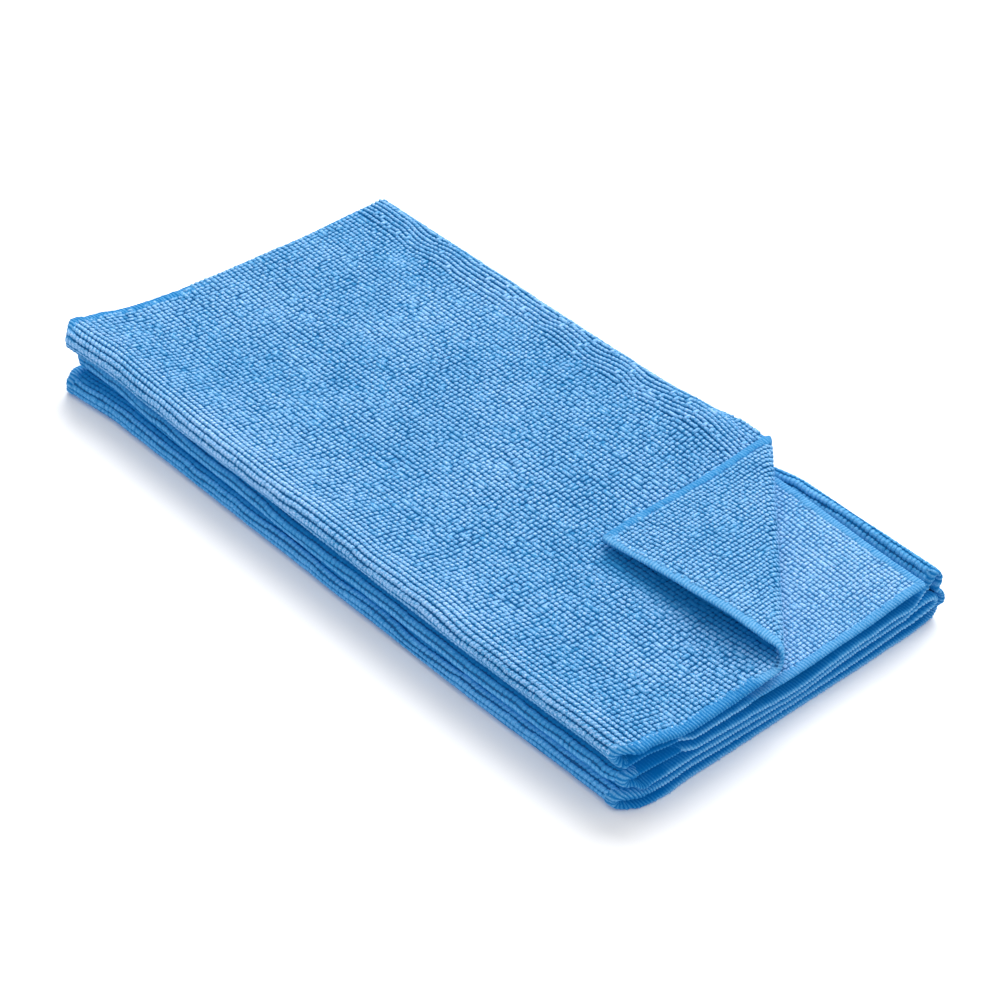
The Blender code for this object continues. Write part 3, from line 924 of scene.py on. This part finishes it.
# %% Hem's profile
STITCH = 1.3
STITCH_ROWS = (0.0, 1.0, 0.8)
RIDGE = 0.28
SLANT = 0.6
HEM_HALF = 1.05
CORNER = 2.4
HALF_PROFILE = (
    # in from the edge, off the middle of the sheet as a share
    (4.9, 0.55),
    (4.3, 0.92),
    (3.2, 1.0),
    (1.8, 1.0),
    (0.7, 0.9),
    (0.0, 0.5),
)
HEM_PROFILE = (*HALF_PROFILE, (-0.15, 0.0), *((inset, -up) for inset, up in HALF_PROFILE[::-1]))
ROWS_A_STITCH = len(STITCH_ROWS)
depth, tier = np.array(HEM_PROFILE).T[:, None, :]
ON_RIM = np.abs(tier) < 0.8
print("points round the hem", len(HEM_PROFILE))


# %% Walk round the edge
def edge_walk(count):
    """Places on the cloth's outline, its corners rounded, and the direction in from there."""
    a, c = LENGTH - 2.0 * CORNER, WIDTH - 2.0 * CORNER
    quarter = math.pi * CORNER / 2.0
    total = 2.0 * (a + c) + 4.0 * quarter
    rows = []
    for at in np.arange(count) * total / count:
        for side in range(4):
            straight = (a, c, a, c)[side]
            if at < straight + quarter:
                break
            at -= straight + quarter
        direction = side * math.pi / 2.0
        corners = ((CORNER, 0.0), (LENGTH, CORNER), (LENGTH - CORNER, WIDTH), (0.0, WIDTH - CORNER))
        start = np.array(corners[side])
        heading = np.array((math.cos(direction), math.sin(direction)))
        inward = np.array((-heading[1], heading[0]))
        if at <= straight:
            rows.append((*(start + heading * at), *inward))
            continue
        angle = (at - straight) / CORNER
        centre = start + heading * straight + inward * CORNER
        outward = -inward * math.cos(angle) + heading * math.sin(angle)
        rows.append((*(centre + outward * CORNER), *(-outward)))
    return np.array(rows)


stitches = round(2.0 * (LENGTH + WIDTH) / STITCH)
rows, columns = stitches * ROWS_A_STITCH, len(HEM_PROFILE)
walk = edge_walk(rows)
raised = np.tile(STITCH_ROWS, stitches)[:, None]
each = np.repeat(chance.normal(size=(stitches, 3)), ROWS_A_STITCH, axis=0)
print("stitches", stitches)

# %% [markdown]
# The hem isn't the same all round. It is calmer and narrower on the turned-back corner and on the bared
# second layer, and at the front, where six layers lie stacked, pale along its rim and dark below. There
# the dark is painted shade under the layer above, and the pale rim is partly its looper thread and partly
# painted light. Each of these parts is a share between 0 and 1, for every row of the band.

# %% Parts of the hem
BARE_PART = (-12.0, 8.0)
TURNED_PART = (-6.0, 4.0)
STACKED_FROM = (-72.0, 12.0)
STACKED_UNTIL = (78.0, -10.0)
TOP_CALM = 0.4
RIM = (0.55, 0.5)
RIM_REACH = 1.2
FOLD_SPANS = (("fold_a", "first inner turn"), ("fold_b", "layer_4"), ("fold_c", "layer_6"))

w_along, w_across = walk[:, :1], walk[:, 1:2]
place, beyond = flat_beyond(walk[:, 0], walk[:, 1])
x, beyond = place[:, :1], beyond[:, None]
at_front = w_across < WIDTH / 2.0
on_top = w_along < reached["fold_a"]
bare = (w_along > reached["layer_2"]) * ramp(beyond, *BARE_PART)
turned = on_top * ramp(beyond, *TURNED_PART)
open_edge = turned * (walk[:, 3:] > 0.5)
calm = np.where(on_top, np.maximum(turned, TOP_CALM), bare)
hidden = hem_hidden(walk[:, 0], walk[:, 1])[:, None]
stacked = np.where(on_top, 0.0, ramp(x, *STACKED_FROM) * (1.0 - calm))
stacked = stacked * ramp(x, *STACKED_UNTIL) * at_front
inner = walk[:, :2] + walk[:, 2:]
above = put(inner[:, 0], inner[:, 1], np.ones(rows)) - put(inner[:, 0], inner[:, 1], np.zeros(rows))
lower = -np.sign(above[:, 2:]) * tier
rim = np.exp(-(((lower - RIM[0]) / RIM[1]) ** 2)) * (depth < RIM_REACH) * stacked
print("rows on the turned-back corner", int(turned.sum()))


# %% Shape of the hem
def band_faces(count, start):
    """The faces of a closed band. The last ones join its last row to its first."""
    number = np.arange(count * columns).reshape(count, columns) + start
    after = np.roll(number, -1, axis=0)
    faces = (number[:, :-1], after[:, :-1], after[:, 1:], number[:, 1:])
    return np.stack(faces, axis=-1).reshape(-1, 4)


SWELL = ((0.07, 9.0, 8), (0.06, 3.0, 9))
FOLD_FILL = 0.9
steps_along = np.arange(rows) * STITCH / ROWS_A_STITCH
swell = 1.0 + drifts(steps_along, 0.0 * steps_along, SWELL)[:, None]
ridge = RIDGE * raised * (1.0 + 0.4 * each[:, :1]) * (1.0 - 0.62 * calm) * (1.0 - 0.3 * stacked)
width = (1.0 - 0.28 * turned - 0.24 * bare + 0.16 * open_edge) * (1.0 + 0.07 * each[:, 1:2])
inset = depth * width - ridge * ON_RIM - rim * (0.15 + 0.2 * raised)
low_hem = np.where(tier > 0.0, 1.0 - 0.5 * hidden, 1.0)
at_wall = window(w_along, reached["right wall"] + 4.0, reached["layer_3"] - 2.0, 8.0)
low_hem = low_hem * (1.0 - 0.35 * at_wall)
half = HEM_HALF * swell * (1.0 - 0.36 * turned - 0.2 * bare)
off = tier * (half + ridge) * low_hem
for name, after in FOLD_SPANS:
    filled = window(w_along, reached[name] + 2.0, reached[after] - 2.0, 6.0)
    off = off * np.where(tier < 0.0, 1.0 + FOLD_FILL * filled, 1.0)
slant = SLANT * tier + 0.2 * each[:, 2:] * (depth > 2.0)
hem_along = w_along + walk[:, 2:3] * inset + walk[:, 3:] * slant
hem_across = w_across + walk[:, 3:] * inset - walk[:, 2:3] * slant
places = put(hem_along.ravel(), hem_across.ravel(), off.ravel())
quads = band_faces(rows, 0)
print("hem faces", len(quads))

# %% Shade of the hem
# Painted light and shade: the stitch ridges are paler than the grooves; on the stacked bands the upper
# part, under the layer above, is darker and the rim paler; the bared layer's hem is darker on its lower
# side at the front; along the left folds the hem is darker on the side that faces into the fold; and the
# open edge of the turned-back corner is paler on its upper side.
HEM_SHADE, STITCH_SHADE, OPEN_EDGE_PAINTED_LIGHT = 0.30, 0.55, 0.14
STACKED_PAINTED_SHADE, BARE_PAINTED_SHADE, TOP_DARKER, FOLD_PAINTED_SHADE = 0.55, 0.36, 0.08, 0.26
values = np.ones((rows, columns, 4))
values[..., RISE_AND_SHADE] = HEM_SHADE + raised * (STITCH_SHADE - 0.3 * calm - 0.24 * stacked)
values[..., RISE_AND_SHADE] += 0.17 * calm + 0.38 * stacked + 0.06 * rim
values[..., RISE_AND_SHADE] += OPEN_EDGE_PAINTED_LIGHT * open_edge * ramp(lower, 0.4, -0.8)
values[..., RISE_AND_SHADE] -= STACKED_PAINTED_SHADE * stacked * (1.0 - rim) * (1.0 - ramp(lower, -0.95, 0.8))
values[..., RISE_AND_SHADE] -= BARE_PAINTED_SHADE * bare * ramp(lower, -0.1, 0.8) * at_front
values[..., RISE_AND_SHADE] -= TOP_DARKER * on_top * (1.0 - turned)
for name, after in FOLD_SPANS:
    inside = window(w_along, reached[name] - 5.0, reached[after] + 12.0, 6.0)
    values[..., RISE_AND_SHADE] -= FOLD_PAINTED_SHADE * inside * ramp(tier, 0.3, -0.9)
values[..., LUCK] = 0.5 + 0.25 * each[:, 1:2]
values[..., PATCH] = np.abs(tier) + 1.2 * rim + 0.4 * calm + 1.2 * bare - 0.5
values = values.reshape(-1, 4)
print("shades of the hem", values[:, RISE_AND_SHADE].min().round(2), values[:, RISE_AND_SHADE].max().round(2))

# %% [markdown]
# At both ends the hem of the left folds runs on into the hem of the layers beside them. The inner turns
# are tucked in there, and a short hem bridges each of them. It sinks in toward its far end.

# %% Hem over the tucked ends
BRIDGES = (
    # layer, from, to
    ("layer_2", TURN_IN - 6.0, TURN_OUT + 28.0),
    ("layer_3", reached["fold_b"] + 1.0, TURN_OUT - 44.0),
)
BRIDGE_PROUD, BRIDGE_SINK = 0.3, 2.0
BRIDGE_SHADE = (0.42, 0.36, 0.44)
for edge, inward, end in ((0.0, 1.0, 2), (WIDTH, -1.0, 3)):
    for layer, first, last in BRIDGES:
        ends = put(np.array((first, last)), np.array((edge, edge)), np.zeros(2))
        count = ROWS_A_STITCH * round(np.linalg.norm(ends[1] - ends[0]) / (STITCH * MM))
        share = np.linspace(0.0, 1.0, count)[:, None]
        path = ends[0] * (1.0 - share) + ends[1] * share
        line = [section_point(layer, x)[end] for x in path[:, 0] / MM + BOX_CENTRE[0]]
        bulge = (np.array(line) - BOX_CENTRE[1]) * MM - path[:, 1]
        path[:, 1] += (bulge - bulge[0]) * smooth(3.0 - 3.0 * share[:, 0])
        bump = np.tile(STITCH_ROWS, count)[:count, None]
        sunk = smooth(share * 1.6 - 0.6)
        off = tier * (HEM_HALF + RIDGE * bump) * (1.0 - 0.4 * sunk)
        reach = depth - RIDGE * bump * ON_RIM - BRIDGE_PROUD + BRIDGE_SINK * sunk
        bridge = path[:, None, :] + np.zeros((1, columns, 1))
        bridge[..., 0] += SLANT * tier * MM
        bridge[..., 1] += inward * reach * MM
        bridge[..., 2] -= inward * off * MM
        # Painted shade: the stitch ridges are paler than the grooves, and the upper side, under the layer
        # above, is darker.
        shade = np.full((count, columns, 4), 0.4)
        base, lit, dark = BRIDGE_SHADE
        shade[..., RISE_AND_SHADE] = base + bump * lit - dark * ramp(inward * tier, 0.4, -0.9)
        quads = np.concatenate((quads, band_faces(count, len(places))[: (1 - columns)]))
        places = np.concatenate((places, bridge.reshape(-1, 3)))
        values = np.concatenate((values, shade.reshape(-1, 4)))
hem = new_piece("overlocked_hem", places, quads, values)
print("hem and its bridges, triangles", 2 * len(quads))

# %% [markdown]
# ## Materials
# Split microfibre scatters light inside each tuft: the tips look pale, the depths between them a deep
# clear blue. This is painted: the colour darkens toward the loops' feet as painted shade, and a few tips
# get a painted highlight. A colour attribute carries the height, a little luck, how pale the patch is and
# how bright the tips' painted highlight may get, and the material mixes its blues by them. A faint blue
# painted glow of its own stands for the scattered light and lifts the shade. Shader maths is written as
# plain expressions.


# %% Shader maths
class Value:
    """A socket that can be added, multiplied and so on."""

    def __init__(self, recipe, socket):
        self.recipe = recipe
        self.socket = socket

    def combine(self, operation, first, second):
        """One Math node on two values."""
        made = self.recipe.make("ShaderNodeMath", {"operation": operation}, {0: first, 1: second})
        return self.recipe.read(made, 0)

    def __add__(self, other):
        return self.combine("ADD", self, other)

    def __sub__(self, other):
        return self.combine("SUBTRACT", self, other)

    def __rsub__(self, other):
        return self.combine("SUBTRACT", other, self)

    def __mul__(self, other):
        return self.combine("MULTIPLY", self, other)

    __radd__, __rmul__ = __add__, __mul__


class Recipe:
    """A material that is put together node by node."""

    def __init__(self, name):
        self.material = bpy.data.materials.new(name)
        self.material.use_nodes = True
        self.tree = self.material.node_tree
        self.shader = self.tree.nodes["Principled BSDF"]

    def give(self, socket, value):
        """Link a socket or set its own value."""
        if isinstance(value, Value):
            self.tree.links.new(value.socket, socket)
        else:
            socket.default_value = value

    def make(self, kind, settings, values):
        """Any node: its settings are set first, then the values or links of its sockets."""
        made = self.tree.nodes.new(kind)
        for name, setting in settings.items():
            setattr(made, name, setting)
        for key, value in values.items():
            self.give(made.inputs[key], value)
        return made

    def read(self, node, output):
        """An output of a node, as a value for more maths."""
        return Value(self, node.outputs[output])

    def finish(self, sockets):
        """Give the shader's sockets their values or links."""
        for name, value in sockets.items():
            self.give(self.shader.inputs[name], value)

    def relief(self, strength, distance, height, invert=False):
        """A bump, `distance` millimetres deep, for the shader's Normal."""
        values = {"Strength": strength, "Distance": distance * MM, "Height": height}
        return self.read(self.make("ShaderNodeBump", {"invert": invert}, values), 0)

    def place(self):
        """The place on the object."""
        return self.read(self.make("ShaderNodeTexCoord", {}, {}), "Object")

    def noise(self, scale, detail=2.0):
        """Soft noise in the piece's own place, between 0 and 1."""
        values = {"Vector": self.place(), "Scale": scale, "Detail": detail}
        return self.read(self.make("ShaderNodeTexNoise", {}, values), "Fac")

    def blend(self, share, first, second):
        """A colour between two others. The node's colour sockets are numbers 6, 7 and 2."""
        made = self.make("ShaderNodeMix", {"data_type": "RGBA"}, {0: share, 6: first, 7: second})
        return self.read(made, 2)

    def within(self, value):
        """A value held between 0 and 1."""
        return self.read(self.make("ShaderNodeClamp", {}, {"Value": value}), 0)


# %% Yarn
FIBRE_NOISE = 1900.0
BUMP_NOISE = (1500.0, 4.0)
# The Emission Color is the tint of a painted glow.
YARN_SOCKETS = {
    "Roughness": 0.9,
    "Emission Color": (0.0, 0.30, 1.0, 1.0),
    "Specular IOR Level": 0.03,
    "Sheen Weight": 0.03,
    "Sheen Roughness": 0.5,
    "Sheen Tint": (0.6, 0.8, 1.0, 1.0),
}


def yarn(name, deep, pale, bright, fibre, grain, painted_glow):
    """Microfibre yarn: deep in the gaps and pale on the tips, which is painted shade; brightest on a few
    of them, a painted highlight; and a faint painted glow.
    """
    recipe = Recipe(name)
    tuft = recipe.make("ShaderNodeAttribute", {"attribute_name": "tuft"}, {})
    parts = recipe.make("ShaderNodeSeparateColor", {}, {"Color": recipe.read(tuft, "Color")})
    height, luck, patch = (recipe.read(parts, k) for k in (RISE_AND_SHADE, LUCK, PATCH))
    tip_highlight = recipe.read(tuft, "Alpha")
    fine = recipe.noise(FIBRE_NOISE)
    share = recipe.within(height * 1.25 + fine * 0.5 + luck * 0.12 + patch * 0.06 - 0.635)
    colour = recipe.blend(share, deep, pale)
    speckle = fine * grain + (0.5 - 0.5 * grain)
    # A painted highlight: a few tips take the bright blue.
    tips = recipe.within((height * speckle * 1.9 - 0.645 + patch * 0.07 + luck * 0.05) * 1.4)
    normal = recipe.relief(0.9, fibre, recipe.noise(*BUMP_NOISE))
    recipe.finish({"Base Color": recipe.blend(tips * tip_highlight, colour, bright), "Normal": normal})
    recipe.finish({**YARN_SOCKETS, "Emission Strength": painted_glow})
    return recipe.material


# %% Finishes
# Deep (painted shade), pale, and bright (painted highlight), then the depth of the fibres in mm, their
# grain, and the strength of the painted glow.
LOOP_BLUES = ((0.0, 0.07, 0.185, 1.0), (0.07, 0.318, 0.565, 1.0), (0.43, 0.585, 0.815, 1.0))
HEM_BLUES = ((0.0, 0.07, 0.225, 1.0), (0.06, 0.285, 0.5, 1.0), (0.3, 0.49, 0.66, 1.0))
# The ground is painted in dark blues, as shade between the loops.
GROUND_SHADE_BLUES = ((0.0, 0.065, 0.21, 1.0), (0.004, 0.14, 0.38, 1.0))
CARD_WHITE = (0.93, 0.93, 0.935, 1.0)
IN_FOLDS = ("loops_second_fold", "loops_third_fold", "loops_right_side")
loop_finish = yarn("blue microfibre loops", *LOOP_BLUES, 0.15, 1.0, 0.14)
# The loops on the shaded sides get a copy of the finish with a stronger painted glow.
fold_glow_finish = yarn("blue microfibre in the folds", *LOOP_BLUES, 0.15, 1.0, 0.19)
hem_finish = yarn("blue overlock yarn", *HEM_BLUES, 0.25, 0.5, 0.17)

# %% Ground and floor
KNIT_NOISE, KNIT_CELLS, KNIT_DEPTH = 1400.0, 520.0, 0.6
knitted = Recipe("blue knitted ground")
cells = {"Vector": knitted.place(), "Scale": KNIT_CELLS}
cells = knitted.read(knitted.make("ShaderNodeTexVoronoi", {}, cells), "Distance")
blues = knitted.blend(knitted.noise(KNIT_NOISE), *GROUND_SHADE_BLUES)
normal = knitted.relief(0.8, KNIT_DEPTH, cells, invert=True)
knitted.finish({"Base Color": blues, "Normal": normal, "Roughness": 0.9})
card = Recipe("white card")
card.finish({"Base Color": CARD_WHITE, "Roughness": 0.9, "Specular IOR Level": 0.1})
floor.data.materials.append(card.material)
ground.data.materials.clear()
ground.data.materials.append(knitted.material)
hem.data.materials.append(hem_finish)
for piece in pieces:
    piece.data.materials.append(fold_glow_finish if piece.name in IN_FOLDS else loop_finish)
print("materials", [material.name for material in bpy.data.materials])

# %% [markdown]
# ## Hand the pieces over
# The ground stands for the cloth of the frame, and the hem and the loops go with it.

for piece in (ground, hem, *pieces):
    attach(piece, "root")
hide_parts("microfibre_cloth")
